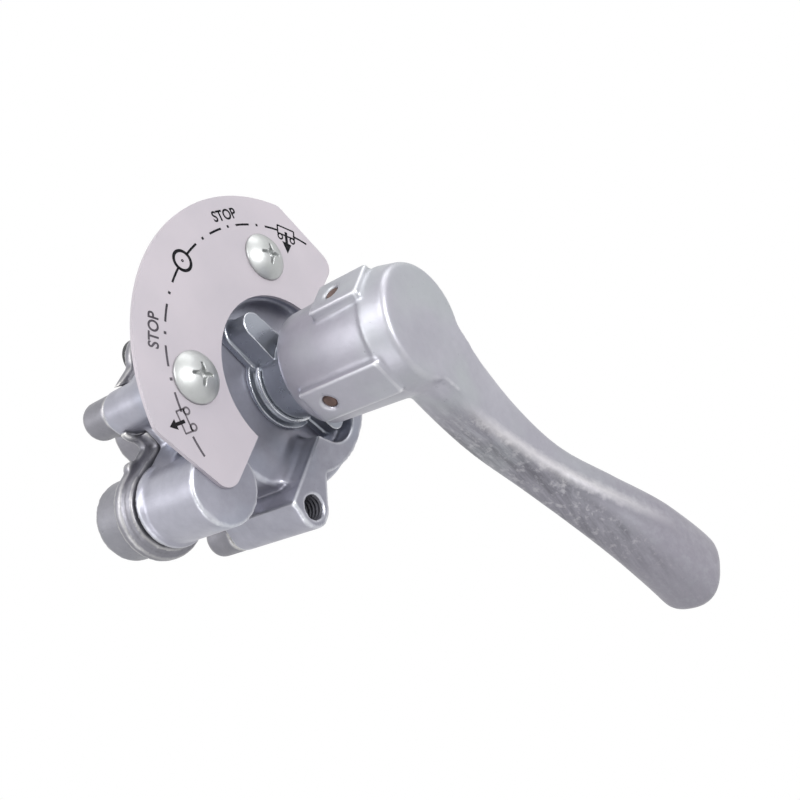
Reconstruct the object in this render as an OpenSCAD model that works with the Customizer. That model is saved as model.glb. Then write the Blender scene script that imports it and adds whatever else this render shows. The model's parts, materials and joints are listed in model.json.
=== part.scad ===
// Hand-operated raise and lower levelling valve for an air suspension.
// The valve is drawn lying on its back: x to the right, y up the dial
// and z forward along the shaft towards the hand. upright() then stands it up,
// so that the shaft lies along Y, the front looks to -Y and the lever hangs down.

/* [Castings] */
// Mounting face to the datum plane that depths are counted from
lift = 1.5; // [0:0.1:2]
// Datum plane to dial seat
body_depth = 36.5; // [34:0.5:40]
// Radius of the round barrel
barrel_r = 29.8; // [28:0.2:32]
// Datum plane to the front face of the barrel
barrel_front = 30.5; // [27.5:0.5:32]
// Datum plane to the joint face of the rear cover
joint_z = 14.5; // [13:0.5:15.5]
// Thickness of the rear cover's flange
flange_t = 4.5; // [4:0.5:7]
// Thickness of the gasket between the castings
gasket_t = 1.5; // [1:0.1:2]
// Depth of the open groove round the gasket
groove_depth = 1.4; // [1:0.1:2.2]
// Radius of the valve chamber
chamber_r = 23; // [22.8:0.1:24]
// Thickness of the wall between chamber and dial side
floor_t = 7; // [5:0.1:8]

/* [Inlet cylinder] */
// Offset of the inlet cylinder to the left of the shaft
inlet_x = 42.2; // [41:0.2:44]
// Height of the inlet cylinder above the shaft
inlet_y = 6.4; // [5:0.2:8]
// Outer radius of the inlet cylinder
inlet_r = 10.2; // [10:0.1:11]
// Radius of the rear cover's flange round the inlet cylinder
inlet_flange_r = 13; // [12.5:0.1:14]

/* [Bosses] */
// Sideways distance of a mounting boss from the shaft
mount_x = 29.5; // [28.5:0.1:30.5]
// Distance of the mounting bosses below the shaft
mount_drop = 20.2; // [19.5:0.1:21.5]
// Outer radius of a mounting boss
mount_boss_r = 5.6; // [5.4:0.1:6.2]
// Radius of the threaded hole in a mounting boss
mount_thread_r = 3.4; // [3.3:0.05:3.5]
// Radius of the clearance hole behind it
mount_clear_r = 4.25; // [4.2:0.05:4.5]
// Offset of the left dial post from the shaft
post_left = 24.9; // [24:0.1:26]
// Offset of the right dial post from the shaft
post_right = 23.7; // [23:0.1:25]
// Height of the left dial post above the shaft
post_left_y = 26.3; // [25:0.1:27]
// Height of the right dial post above the shaft
post_right_y = 25.1; // [24:0.1:27]
// Outer radius of a dial post on the front casting
post_r = 6.3; // [6:0.1:7.5]
// Outer radius of a dial post on the rear cover
post_rear_r = 5.3; // [5:0.1:5.8]
// Depth of the rear cover's bosses
boss_step = 8.5; // [7.5:0.5:9.5]

/* [Dial plate] */
// Thickness of the dial plate
dial_t = 1.1; // [1:0.1:2]
// Outer radius of the dial plate
dial_r = 52.5; // [50:0.5:55]
// Half width of the dial plate
dial_half_w = 44; // [42:0.5:46]
// Height of the lower edge of the dial plate above the shaft
dial_low = 4.2; // [3:0.2:6]
// Radius of the cut-out round the lugs
dial_cut_r = 22.9; // [22.5:0.1:24]
// Offset of the cut-out to the left of the shaft
dial_cut_left = 2.6; // [0:0.1:3]
// Height of the cut-out's centre above the shaft
dial_cut_up = 3.1; // [2.6:0.1:4]
// Radius of the rounded corners
dial_corner_r = 4.5; // [3:0.5:6]

/* [Dial screws] */
// Radius of the screw heads
dial_head_r = 6.75; // [6:0.05:7.5]
// Height of the screw heads
dial_head_h = 3.4; // [3:0.1:4]
// Radius of the screw shanks
dial_shank_r = 3; // [2.5:0.1:3.2]

/* [Guide sleeve] */
// Radius of the neck
neck_r = 10.9; // [10.5:0.1:11.1]
// Datum plane to the end of the neck
neck_end = 50; // [49:0.5:50.5]
// Radius of the foot of the sleeve
foot_r = 12.9; // [12.6:0.1:14]
// Datum plane to the front of the lugs
lug_front = 39.6; // [38:0.2:42.4]
// Distance of the upper lug's round end from the shaft
lug_reach = 23.2; // [22:0.1:24.1]
// Distance of the lower lug's round end from the shaft
lug_reach_low = 20.2; // [19.8:0.1:22]
// Radius of a lug's round end
lug_r = 3.6; // [3.4:0.1:4.5]
// Radius of the spigot in the front casting
spigot_r = 9.5; // [9.2:0.1:9.8]

/* [Hand lever] */
// Length from the shaft to the end of the grip
lever_len = 123; // [115:1:140]
// Radius of the hub at its open end
hub_r = 15.6; // [15:0.1:16]
// Datum plane to the open end of the hub
hub_open = 44.8; // [44.6:0.1:46]
// Inner radius of the hub
hub_bore_r = 12.3; // [12:0.1:12.8]
// Radius of the round head
head_r = 15.7; // [15:0.1:17]
// Rounding of the head's front edge
head_round = 2; // [1:0.1:3]
// Radius of the shoulder between hub and head
shoulder_r = 16.9; // [16.5:0.1:18]
// Datum plane to the front of the head
head_front = 81.1; // [79:0.1:82]
// Half width of the arm at its waist
waist_half_w = 6.6; // [6:0.1:8]
// Half width of the grip
grip_half_w = 12.6; // [11:0.1:15]
// Half thickness of the grip
grip_half_t = 9.7; // [8:0.1:11]
// Forward sweep of the grip
grip_sweep = 20; // [14:0.5:24]
// How far the lever presses in
press_stroke = 2; // [1:0.1:2.1]

/* [Shaft and rotor] */
// Radius of the drive shaft
shaft_r = 6; // [5.8:0.1:6.2]
// Width across the flats of its square
square_w = 8; // [7.5:0.1:8.2]
// Radius of the shaft's rear journal
journal_r = 3.5; // [3:0.1:3.8]
// Radius of the slide disc
slide_r = 17; // [16.5:0.1:18]
// Radius of the detent wheel
detent_r = 21.8; // [21:0.1:22]
// Angle between two lever positions
detent_step = 30; // [25:1:32]
// Radius of the detent ball
ball_r = 2.5; // [2:0.1:2.6]

/* [Ports] */
// Radius of the thread in a port
port_thread_r = 7.2; // [7:0.1:7.4]
// Outer radius of a port boss
port_boss_r = 10.5; // [10:0.1:10.8]
// Projection of the port bosses behind the mounting face
port_out = 6; // [4:0.5:8]
// Depth of a port's thread
port_depth = 12; // [11:0.5:13]
// Sideways distance of the two upper ports
port_x = 15; // [14.5:0.1:15.5]
// Height of the two upper ports
port_y = 12.5; // [12:0.1:13]
// Distance of the lower port below the shaft
port_drop = 17.5; // [17:0.1:18]

/* [Hidden] */

$fn = 72;
eps = 0.01;
gap = 0.05;
side_inset = 0.05;
boss_room = 0.4;

housing_rear = joint_z + gasket_t;
chamber_front = barrel_front - floor_t;
dial_front = body_depth + dial_t;
casting = [0.70, 0.71, 0.73];
steel = [0.62, 0.63, 0.65];
zinc = [0.80, 0.81, 0.80];
rubber = [0.12, 0.12, 0.13];
brass = [0.78, 0.62, 0.32];

// Stands the valve up on its shaft line, with its mounting face at Y 0.
module upright() {
    rotate([90, 0, 0]) translate([0, 0, lift]) children();
}

// A flat shape between two depths.
module layer(rear, front) {
    translate([0, 0, rear]) linear_extrude(front - rear) children();
}

// A round bar between two depths, at a place on the face.
module bar(at, r, rear, front) {
    translate([at[0], at[1], rear]) cylinder(r = r, h = front - rear);
}

// A tube between two depths, on the shaft line.
module tube(outer, inner, rear, front) {
    difference() {
        bar([0, 0], outer, rear, front);
        bar([0, 0], inner, rear - eps, front + eps);
    }
}

// Two circles joined by straight sides that cross each circle just inside its tangent.
module link(a, ra, b, rb) {
    d = norm(b - a);
    heading = atan2(b[1] - a[1], b[0] - a[0]);
    lean = acos((ra - rb) / d);
    function away(side) = [cos(heading + side * lean), sin(heading + side * lean)];
    function rim(c, r, side) = c + (r - side_inset) * away(side);
    translate(a) circle(ra);
    translate(b) circle(rb);
    polygon([rim(a, ra, -1), rim(b, rb, -1), rim(b, rb, 1), rim(a, ra, 1)]);
}

sides = [-1, 1];
inlet = [-inlet_x, inlet_y];

function post(side) = side < 0 ? [-post_left, post_left_y] : [post_right, post_right_y];
function mount(side) = [side * mount_x, -mount_drop];

// Cover screws
cover_circle_r = 26;
cover_screws_at = [for (turn = [-165, -125, -55, -15]) cover_circle_r * [cos(turn), sin(turn)]];
cover_screw_r = 1.95;
cover_thread_r = 1.7;
cover_thread_len = 9;
cover_head_r = 3.4;
cover_head_h = 2.8;

// Lower lobe of the front casting
lobe_r = 27;
lobe_top = -13.4;
lobe_inner_r = 15.5;
pocket_drop = 14.6;
pocket_r = 8.7;

// Rim behind the dial plate
seat_inner_r = 25.4;
seat_top = body_depth - 2.2;

// Joint flange without the inlet's part, grown or shrunk by an amount all round.
module flange_core(grow) {
    circle(barrel_r + 1.4 + grow);
    link(post(-1), post_r + 0.3 + grow, post(1), post_r + 0.2 + grow);
    for (side = sides) link(post(side), post_r - 0.8 + grow, [side * shoulder_x, shoulder_y], 7 + grow);
    // Hump over the exhaust
    link([-hump_half, hump_y], hump_r + grow, [hump_half, hump_y], hump_r - 0.1 + grow);
}

module flange_outline(grow) {
    flange_core(grow);
    link(inlet, inlet_flange_r + grow, [-20, 5], inlet_flange_r - 0.5 + grow);
}

hump_half = 8;
hump_y = 27;
hump_r = 8.6;
shoulder_x = 25;
shoulder_y = 14.5;
lip_inset = 1.8;
lip_depth = 3.4;

// Square upper corner of a mounting boss, up to the top of the lobe.
module mount_corner(side, grow) {
    inner = side * (mount_x - mount_boss_r + 1.2 - grow);
    outer = side * (mount_x + 3.6 + grow);
    low = [side * (mount_x + mount_boss_r - 0.1 + grow), -mount_drop];
    top = lobe_top + grow;
    corners = [[inner, top], [inner, -mount_drop], low, [outer, top]];
    polygon(side < 0 ? [for (i = [3:-1:0]) corners[i]] : corners);
}

// Room for the front casting's bosses in the pieces behind it.
module front_bosses(side, rear, front) {
    bar(mount(side), mount_boss_r + boss_room, rear, front);
    layer(rear, front) mount_corner(side, boss_room);
    bar(post(side), post_r + boss_room, rear, front);
}

barrel_chamfer = 0.7;
web_front = barrel_front - 5;

module front_blank() {
    // Barrel with a chamfered front edge
    rotate_extrude() polygon([[0, housing_rear], [barrel_r, housing_rear],
        [barrel_r, barrel_front - barrel_chamfer], [barrel_r - barrel_chamfer, barrel_front],
        [0, barrel_front]]);
    // Flange at the joint
    layer(housing_rear, housing_rear + 2.6) flange_core(-0.8);
    // Inlet cylinder with a bead at the joint and its web to the barrel
    bar(inlet, inlet_r, housing_rear, body_depth);
    bar(inlet, inlet_r + 0.8, housing_rear, housing_rear + 1.6);
    layer(housing_rear, web_front) {
        link(inlet, inlet_r - 2, [-20, 6], inlet_r - 1);
        link(inlet + [0, 1.8], inlet_r - 2, [-20, inlet_y + 1.6], inlet_r - 1.9);
    }
    for (side = sides) {
        // Dial post, its web and a mounting boss
        bar(post(side), post_r, boss_step, body_depth);
        layer(housing_rear, barrel_front)
            link(post(side), post_r - 0.5, [side * 17, post(side)[1] - 10], post_r + 1.7);
        bar(mount(side), mount_boss_r, boss_step, body_depth);
        layer(boss_step, body_depth) mount_corner(side, 0);
    }
    // Hollow corner between the barrel's front and the lobe
    intersection() {
        bar([0, 0], barrel_r - barrel_chamfer - 0.1, barrel_front - 1, body_depth);
        translate([-barrel_r, 0, barrel_front]) rotate([90, 0, 90]) linear_extrude(2 * barrel_r)
            polygon([[lobe_top - 0.5, -0.5], [lobe_top + 4, -0.5], [lobe_top + 4, 0.1],
                [lobe_top + 2.3, 0.6], [lobe_top + 1, 1.8], [lobe_top + 0.3, 3.8], [lobe_top - 0.5, 3.8]]);
    }
    // Lower lobe with its webs to the mounting bosses
    layer(barrel_front - 1, body_depth) intersection() {
        union() {
            circle(lobe_r);
            for (side = sides) link(mount(side), mount_boss_r - 0.2, [side * 16, lobe_top], mount_boss_r);
        }
        translate([-60, -60]) square([120, 60 + lobe_top]);
    }
    // Raised rim that backs the dial plate
    layer(barrel_front - 1, seat_top) difference() {
        intersection() {
            union() {
                circle(barrel_r + 1.5);
                link(post(-1), post_r - 1, post(1), post_r - 1.1);
            }
            translate([-60, 4]) square([120, 60]);
        }
        circle(seat_inner_r);
    }
    // Boss for the detent plug
    outward(20) cylinder(r = detent_boss_r, h = detent_boss_end - 20);
}

// Detent
detent_wheel_t = 3;
wheel_rear = chamber_front - 1.5 - detent_wheel_t;
detent_z = wheel_rear + detent_wheel_t / 2;
detent_boss_r = 4.4;
detent_boss_end = 34;
detent_bore_r = ball_r + 0.1;
ball_reach = detent_r + ball_r + gap;
plug_r = 3;
plug_len = 4.5;
plug_seat = 29.5;

// Along the detent's line, from a distance outwards.
module outward(from) {
    translate([from, 0, detent_z]) rotate([0, 90, 0]) children();
}

module front_housing() {
    color(casting) upright() difference() {
        front_blank();
        bar([0, 0], chamber_r, housing_rear - eps, chamber_front);
        bar([0, 0], spigot_r + gap, chamber_front - eps, body_depth + eps);
        // Room round the foot of the sleeve and its lugs in the lower lobe
        layer(barrel_front, body_depth + eps) {
            circle(lobe_inner_r);
            link([0, 0], 14, [0, -pocket_drop], pocket_r);
        }
        for (side = sides) {
            bar(mount(side), mount_thread_r, boss_step - eps, body_depth + eps);
            bar(post(side), post_thread_r, boss_step - eps, body_depth + eps);
        }
        for (at = [[0, sleeve_screw_at], [0, -sleeve_screw_at]]) {
            bar(at, sleeve_screw_r + gap, chamber_front - eps, barrel_front + eps);
            bar(at, sleeve_head_r + gap, chamber_front - eps, chamber_front + sleeve_head_h + gap);
        }
        for (at = cover_screws_at)
            bar(at, cover_thread_r + gap, housing_rear - eps, housing_rear + cover_thread_len + 1);
        // Inlet chamber and its way into the valve chamber
        bar(inlet, inlet_bore_r, housing_rear - eps, inlet_bore_end);
        translate([-chamber_r - 16, inlet_y, housing_rear + 3.6]) rotate([0, 90, 0])
            cylinder(r = passage_r, h = 18);
        // Detent bore and the plug's thread
        outward(chamber_r - 2) cylinder(r = detent_bore_r, h = 14);
        outward(plug_seat) cylinder(r = plug_r + gap, h = 10);
    }
}

// Rear cover
plate_seat = joint_z - 4;
plate_r = 20;
plate_t = 3;
plate_bore_r = square_w / sqrt(2) + 0.6;
passage_r = 2.5;
post_thread_r = 2.5;
inlet_bore_r = 7.4;
inlet_bore_end = 32;
inlet_rear = -1;
pad_r = 6.5;
exhaust_at = [0, 26.5];
exhaust_boss_r = 6.5;
exhaust_bore_r = 4.2;
exhaust_way_r = 1.5;
ports_at = [[-port_x, port_y], [port_x, port_y], [0, -port_drop]];

cover_body_r = barrel_r - 3;
boss_chamfer = 1;
post_rear_shift = 0.8;

// A round boss of the rear cover with a chamfered end.
module chamfered_boss(at, r) {
    translate([at[0], at[1], 0]) rotate_extrude()
        polygon([[0, -lift], [r - boss_chamfer * 0.7, -lift], [r, boss_chamfer - lift],
            [r, boss_step], [0, boss_step]]);
}

module rear_blank() {
    // Flange with a lower lip at the joint, and a cast bump between post and inlet
    layer(joint_z - flange_t, joint_z - lip_depth / 2) {
        flange_outline(0);
        link([-28.2, 23.6], 4, [-20, 14], 6.8);
        link([-38.2, 18.2], 2, [-34, 12], 2.5);
    }
    layer(joint_z - lip_depth, joint_z) flange_outline(-lip_inset);
    bar([0, 0], cover_body_r, 3, joint_z - 1);
    bar(inlet, inlet_r + 0.5, inlet_rear, joint_z);
    bar([0, 0], pad_r, -lift, joint_z - 1);
    for (side = sides) {
        chamfered_boss(post(side) + [0, post_rear_shift], post_rear_r);
        chamfered_boss(mount(side), mount_boss_r - 0.1);
        layer(3, boss_step) {
            link(post(side), post_rear_r - 0.6, [side * 17, post(side)[1] - 10], post_rear_r + 0.5);
            link(mount(side), mount_boss_r - 0.9, [side * (mount_x - 10), 6 - mount_drop], mount_boss_r);
        }
    }
    for (at = ports_at) bar(at, port_boss_r, -port_out, joint_z - 1);
    bar(exhaust_at, exhaust_boss_r, 2, joint_z - 1);
}

module rear_cover() {
    color(casting) upright() difference() {
        rear_blank();
        // The front casting's bosses reach back through the flange
        for (side = sides) front_bosses(side, boss_step, joint_z + eps);
        bar([0, 0], plate_r + gap, plate_seat, joint_z + eps);
        bar([0, 0], rear_bush_r, rear_bush_rear, plate_seat + eps);
        for (side = sides) {
            bar(mount(side), mount_clear_r, -lift - eps, boss_step + eps);
            bar(post(side), post_thread_r, -lift - eps, boss_step + eps);
            bar([side * pin_at, 0], pin_r, plate_seat - 2.5, plate_seat + eps);
        }
        for (at = ports_at) {
            bar(at, port_thread_r, -port_out - eps, port_depth - port_out);
            bar(passage(at), passage_r, 0, plate_seat + eps);
        }
        bar(exhaust_at, exhaust_bore_r, 2 - eps, 9.4);
        bar(passage(exhaust_at), passage_r, 4.6, plate_seat + eps);
        translate([0, passage_pitch, 7]) rotate([-90, 0, 0])
            cylinder(r = exhaust_way_r, h = exhaust_at[1] - passage_pitch);
        for (at = cover_screws_at) {
            bar(at, cover_screw_r + 0.2, -port_out, joint_z + eps);
            bar(at, cover_head_r + 0.4, -port_out, joint_z - flange_t);
        }
        bar(inlet, port_thread_r, inlet_rear - eps, inlet_rear + port_depth);
        bar(inlet, inlet_bore_r, inlet_rear + port_depth - eps, joint_z + eps);
        for (at = seal_places)
            bar(at, seal_r + seal_wire + 0.1, plate_seat - seal_groove, plate_seat + eps);
    }
}

passage_pitch = 12;
function passage(at) = at / norm(at) * passage_pitch;
pin_at = 16.5;
pin_r = 1;

module body_gasket() {
    color(rubber) upright() difference() {
        layer(joint_z, housing_rear) {
            circle(barrel_r - groove_depth);
            link(inlet, inlet_r - groove_depth + 0.4, [-20, 6], inlet_r - groove_depth);
        }
        bar([0, 0], chamber_r, joint_z - eps, housing_rear + eps);
        bar(inlet, inlet_bore_r, joint_z - eps, housing_rear + eps);
        for (at = cover_screws_at) bar(at, cover_screw_r + 0.2, joint_z - eps, housing_rear + eps);
        for (side = sides) front_bosses(side, joint_z - eps, housing_rear + eps);
    }
}

module cover_screws() {
    color(zinc) upright() for (at = cover_screws_at) {
        difference() {
            bar(at, cover_head_r, joint_z - flange_t - cover_head_h, joint_z - flange_t);
            bar(at, 2, joint_z - flange_t - cover_head_h - eps, joint_z - flange_t - 1.4, $fn = 6);
        }
        bar(at, cover_thread_r, joint_z - flange_t - eps, housing_rear + cover_thread_len);
    }
}

dial_shoulder_r = 4;

// The waste outside a round corner between the dial's arc and its right or left edge.
module dial_shoulder(side) {
    x = dial_half_w - dial_shoulder_r;
    y = sqrt(pow(dial_r - dial_shoulder_r, 2) - x * x);
    touch = [x, y] * (dial_r + 0.5) / (dial_r - dial_shoulder_r);
    corners = [[x, y], [dial_half_w + 1, y], [dial_half_w + 1, touch[1]], touch];
    difference() {
        polygon(side < 0 ? [for (i = [3:-1:0]) [-corners[i][0], corners[i][1]]] : corners);
        translate([side * x, y]) circle(dial_shoulder_r);
    }
}

module dial_outline() {
    corner = [dial_half_w - dial_corner_r, dial_low + dial_corner_r];
    difference() {
        union() {
            intersection() {
                circle(dial_r);
                translate([-dial_half_w, corner[1]]) square([2 * dial_half_w, dial_r]);
            }
            translate([-corner[0], dial_low]) square([2 * corner[0], dial_corner_r + eps]);
            for (side = sides) translate([side * corner[0], corner[1]]) circle(dial_corner_r);
        }
        translate([-dial_cut_left, dial_cut_up]) {
            circle(dial_cut_r);
            translate([-dial_cut_r, -dial_r]) square([2 * dial_cut_r, dial_r]);
        }
        for (side = sides) dial_shoulder(side);
    }
}

module dial_plate() {
    color([0.86, 0.84, 0.86]) upright() difference() {
        layer(body_depth, dial_front) dial_outline();
        for (side = sides) bar(post(side), dial_shank_r + 0.3, body_depth - eps, dial_front + eps);
    }
}

recess_w = 1.5;
recess_len = 6.2;
recess_floor = 1.2;
recess_turn = 37;

module dial_screws() {
    color(zinc) upright() for (side = sides) translate(post(side)) difference() {
        union() {
            // Mushroom head: a dome cut from a sphere, over a short rim
            intersection() {
                translate([0, 0, dial_front + dial_head_h - dome_r]) sphere(r = dome_r);
                bar([0, 0], dial_head_r, dial_front, dial_front + dial_head_h);
            }
            bar([0, 0], post_thread_r - gap, 1, dial_front + eps);
        }
        for (turn = [0, 90]) rotate(turn + recess_turn)
            translate([-recess_len / 2, -recess_w / 2, dial_front + recess_floor])
                cube([recess_len, recess_w, dial_head_h]);
    }
}

dome_r = (dial_head_r * dial_head_r + (dial_head_h - 0.7) * (dial_head_h - 0.7)) / (2 * (dial_head_h - 0.7));

// Guide sleeve
bush_r = 7.5;
bush_rear = chamber_front + 1;
bush_front = bush_rear + 11;
seal_z = bush_front + 1.2;
spring_seat = seal_z + 1.8;
spring_room_r = 8.9;
sleeve_screw_at = 15.8;
sleeve_screw_r = 2;
sleeve_head_r = 3.9;
sleeve_head_h = 2.4;
groove_rear = 32.5;
groove_front = 34.5;
groove_floor = neck_r - 1.1;

// Outline of the two lugs, each wider where it leaves the neck.
module lug_outline(side, grow) {
    reach = side < 0 ? lug_reach_low : lug_reach;
    link([0, side * 7], lug_r + 0.7 + grow, [0, side * (reach - lug_r)], lug_r + grow);
}

lug_front_low = 36;
lug_foot = 32.8;
foot_front = 31.8;
sleeve_screw_end = 33.6;

module guide_sleeve() {
    color(casting) upright() difference() {
        union() {
            bar([0, 0], neck_r, barrel_front, neck_end);
            bar([0, 0], foot_r, barrel_front, foot_front);
            bar([0, 0], spigot_r, chamber_front, barrel_front + eps);
            layer(barrel_front, lug_front) lug_outline(1, 0);
            layer(barrel_front, lug_front_low) lug_outline(-1, 0);
            // Step at the foot of each lug
            for (side = sides) layer(barrel_front, lug_foot) lug_outline(side, 0.7);
        }
        difference() {
            tube(neck_r + 0.6, groove_floor, groove_rear, groove_front);
            translate([-lug_band, -lug_reach, groove_rear - 1]) cube([2 * lug_band, 2 * lug_reach, 5]);
        }
        bar([0, 0], shaft_r + 0.2, chamber_front - eps, neck_end + eps);
        bar([0, 0], bush_r, bush_rear, bush_front);
        bar([0, 0], shaft_r + 1.9, seal_z - 1.2, seal_z + 1.2);
        bar([0, 0], spring_room_r, spring_seat, neck_end + eps);
        bar([0, 0], spigot_r - 2, chamber_front - eps, chamber_front + 1);
        for (side = sides)
            bar([0, side * sleeve_screw_at], sleeve_thread_r + gap, barrel_front - eps,
                sleeve_screw_end + 0.6);
    }
}

lug_band = lug_r + 1.6;
sleeve_thread_r = 1.65;

module sleeve_screws() {
    color(steel) upright() for (side = sides) {
        at = [0, side * sleeve_screw_at];
        difference() {
            bar(at, sleeve_head_r, chamber_front + 0.1, chamber_front + sleeve_head_h);
            bar(at, 1.3, chamber_front, chamber_front + 1.4, $fn = 6);
        }
        bar(at, sleeve_thread_r, chamber_front + sleeve_head_h - eps, sleeve_screw_end);
    }
}

module sleeve_bush() {
    color(brass) upright() tube(bush_r, shaft_r + gap, bush_rear, bush_front);
}

module neck_ring() {
    color(steel) upright() difference() {
        tube(neck_r + 0.75, groove_floor, groove_rear, groove_rear + 0.9);
        half = lug_band + 0.5;
        for (side = sides) translate([-half, (side - 1) * lug_reach / 2, groove_rear - 1])
            cube([2 * half, lug_reach, 3]);
    }
}

module ring_seal(at, mid_r, wire, z) {
    translate([at[0], at[1], z]) rotate_extrude() translate([mid_r, 0]) circle(wire / 2, $fn = 24);
}

module shaft_seal() {
    color(rubber) upright() ring_seal([0, 0], shaft_r + 0.95, 1.8, seal_z);
}

rear_bush_r = 5;
rear_bush_rear = 2.4;

module rear_bush() {
    color(brass) upright() tube(rear_bush_r, journal_r + gap, rear_bush_rear + 1.2, plate_seat - 0.4);
}

seal_r = 3.6;
seal_wire = 0.9;
seal_groove = 0.8;
seal_places = [for (at = concat(ports_at, [exhaust_at])) passage(at)];

module port_plate() {
    color(steel) upright() difference() {
        bar([0, 0], plate_r, plate_seat, plate_seat + plate_t);
        bar([0, 0], plate_bore_r, plate_seat - eps, plate_seat + plate_t + eps);
        for (at = seal_places) bar(at, passage_r, plate_seat - eps, plate_seat + plate_t + eps);
        for (side = sides) bar([side * pin_at, 0], pin_r, plate_seat - eps, plate_seat + 1.8);
    }
}

module port_seals() {
    color(rubber) upright() for (at = seal_places)
        ring_seal(at, seal_r, seal_wire - 0.1, plate_seat - seal_groove / 2);
}

module locating_pins() {
    color(steel) upright() for (side = sides)
        bar([side * pin_at, 0], pin_r, plate_seat - 2.4, plate_seat + 1.7);
}

slide_rear = plate_seat + plate_t;
slide_t = 3.5;
slide_front = slide_rear + slide_t;
square_gap = 0.15;

module square_hole(rear, front) {
    half = square_w / 2 + square_gap;
    translate([-half, -half, rear]) cube([2 * half, 2 * half, front - rear]);
}

module slide_disc() {
    color([0.5, 0.5, 0.53]) upright() difference() {
        bar([0, 0], slide_r, slide_rear, slide_front);
        square_hole(slide_rear - eps, slide_front + eps);
        // Kidney slots in the sealing face
        for (turn = [45, 135]) layer(slide_rear - eps, slide_rear + 2) rotate(turn)
            kidney(passage_pitch, passage_r + 0.1, 38);
    }
}

// An arc-shaped slot with square ends, symmetric about the x axis.
module kidney(mid_r, half_w, half_angle) {
    far = 40;
    edge = far * [cos(half_angle), sin(half_angle)];
    intersection() {
        difference() {
            circle(mid_r + half_w);
            circle(mid_r - half_w);
        }
        polygon([[0, 0], [edge[0], -edge[1]], edge]);
    }
}

wave_outer_r = 12;
wave_inner_r = 9;

module wave_spring() {
    color(steel) upright() tube(wave_outer_r, wave_inner_r, slide_front, wheel_rear);
}

module detent_wheel() {
    notch_r = ball_r + 0.3;
    color(steel) upright() difference() {
        bar([0, 0], detent_r, wheel_rear, wheel_rear + detent_wheel_t);
        square_hole(wheel_rear - eps, wheel_rear + detent_wheel_t + eps);
        for (place = [-2:2]) rotate(place * detent_step)
            bar([ball_reach, 0], notch_r, wheel_rear - eps, wheel_rear + detent_wheel_t + eps);
    }
}

module thrust_washer() {
    color(brass) upright() tube(spigot_r + 4, spigot_r - 3, chamber_front - 1.5, chamber_front);
}

module detent_ball() {
    color(steel) upright() outward(ball_reach + 0.25) sphere(r = ball_r);
}

// A round wire coiled about the z axis, its ends flat on the two seats.
module coil(mid_r, wire, length, turns) {
    sides = 8;
    per_turn = 14;
    rings = round(turns * per_turn);
    rise = length - wire;
    function centre(i) = let (a = 360 * i / per_turn)
        [mid_r * cos(a), mid_r * sin(a), wire / 2 + rise * i / rings];
    points = [for (i = [0:rings], k = [0:sides - 1])
        let (a = 360 * i / per_turn, b = 360 * k / sides, c = centre(i))
        [c[0] + wire / 2 * cos(b) * cos(a), c[1] + wire / 2 * cos(b) * sin(a), c[2] + wire / 2 * sin(b)]];
    walls = [for (i = [0:rings - 1], k = [0:sides - 1])
        let (n = (k + 1) % sides) [i * sides + k, i * sides + n, (i + 1) * sides + n, (i + 1) * sides + k]];
    first = [for (k = [sides - 1:-1:0]) k];
    last = [for (k = [0:sides - 1]) rings * sides + k];
    polyhedron(points, concat([first], walls, [last]), convexity = 10);
}

module detent_spring() {
    ball_back = ball_reach + 0.25 + ball_r;
    color(steel) upright() outward(ball_back + 0.05) coil(1.7, 0.5, plug_seat - ball_back - 0.1, 3);
}

module detent_plug() {
    color(steel) upright() outward(plug_seat) difference() {
        cylinder(r = plug_r, h = plug_len);
        translate([0, 0, plug_len - 2.4]) cylinder(r = 1.7, h = 3, $fn = 6);
    }
}

// Hand lever
cup_floor = neck_end + press_stroke + 0.9;
head_rear = head_front - 7;
pad_flat = 17.6;
pad_half_w = 5.4;
pin_hole_r = 2;
side_pin_z = 55.5;
top_pin_z = 65.5;
pad_rear = 49;
arm_start = 8;
arm_root_z = 72.6;
shaft_end = 72;
press_coil_r = 7.5;

// Half width, half thickness, forward place, squareness and draft of the arm, at shares of its length.
arm_stations = [
    [0, 13.4, 6.6, 0.04, 4, 0.3],
    [0.12, 11.6, 7.2, 0.02, 4, 0.3],
    [0.3, 8.4, 7.2, 0.06, 4, 0.16],
    [0.47, waist_half_w, 7, 0.24, 3.6, 0],
    [0.65, 8.8, 8, 0.56, 3, 0],
    [0.8, grip_half_w - 1.6, grip_half_t - 0.4, 0.82, 2.6, 0],
    [1, grip_half_w, grip_half_t, 1, 2.5, 0]];

// Cubic through four values in a row, from the second to the third.
function cubic(p, t) = p[1] + t * ((p[2] - p[0]) / 2 + t * ((2 * p[0] - 5 * p[1] + 4 * p[2] - p[3]) / 2
    + t * (3 * p[1] - p[0] - 3 * p[2] + p[3]) / 2));

function station(s, i, last) = let (t = arm_stations, k = min(i, last - 1),
    f = (s - t[k][0]) / (t[k + 1][0] - t[k][0]))
    [for (c = [1:5]) cubic([t[max(k - 1, 0)][c], t[k][c], t[k + 1][c], t[min(k + 2, last)][c]], f)];

function arm_at(s) = let (last = len(arm_stations) - 1,
    below = max([for (i = [0:last]) arm_stations[i][0] <= s ? i : 0])) station(s, below, last);

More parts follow.
